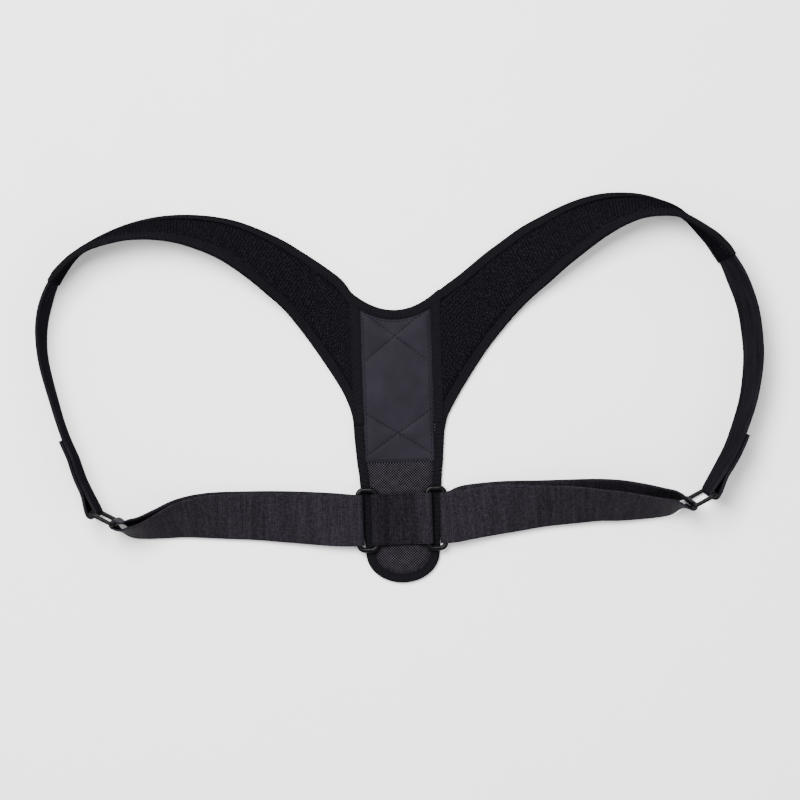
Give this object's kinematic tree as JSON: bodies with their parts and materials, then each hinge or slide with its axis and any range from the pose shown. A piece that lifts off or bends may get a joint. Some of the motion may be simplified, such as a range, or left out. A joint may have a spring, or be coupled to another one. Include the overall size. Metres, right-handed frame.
{
  "type": "posture corrector",
  "caption": "Padded Y-shaped back yoke with arm loops, webbing returning through plastic loops to a centre tab, and rings for adjusting.",
  "frame": {"origin": "on the spine line, on the underside of the back panel, level with the lower third of the panel", "axes": "+X across the shoulders, +Y up the spine towards the neck, +Z away from the surface that it lies on"},
  "size_m": [0.5324, 0.2852, 0.0459],
  "materials": {
    "nylon": "woven nylon, matte",
    "patch": "smooth coated cloth, faint sheen",
    "mesh": "knitted spacer mesh, matte",
    "binding": "woven tape, matte",
    "webbing": "woven webbing, faint sheen",
    "strap": "brushed strap, matte",
    "plastic": "moulded, glossy"
  },
  "bodies": {
    "root": {"back_panel": "nylon", "centre_patch": "patch", "neck_binding": "binding", "hem_binding": "binding", "cross_band": "webbing", "shoulder_pad_left": "mesh", "shoulder_pad_right": "mesh", "adjuster_strap_left": "strap", "adjuster_strap_right": "strap", "strap_ring_left": "plastic", "strap_ring_right": "plastic", "side_webbing_left": "webbing", "side_webbing_right": "webbing", "webbing_loop_left": "plastic", "webbing_loop_right": "plastic"}
  },
  "joints": []
}
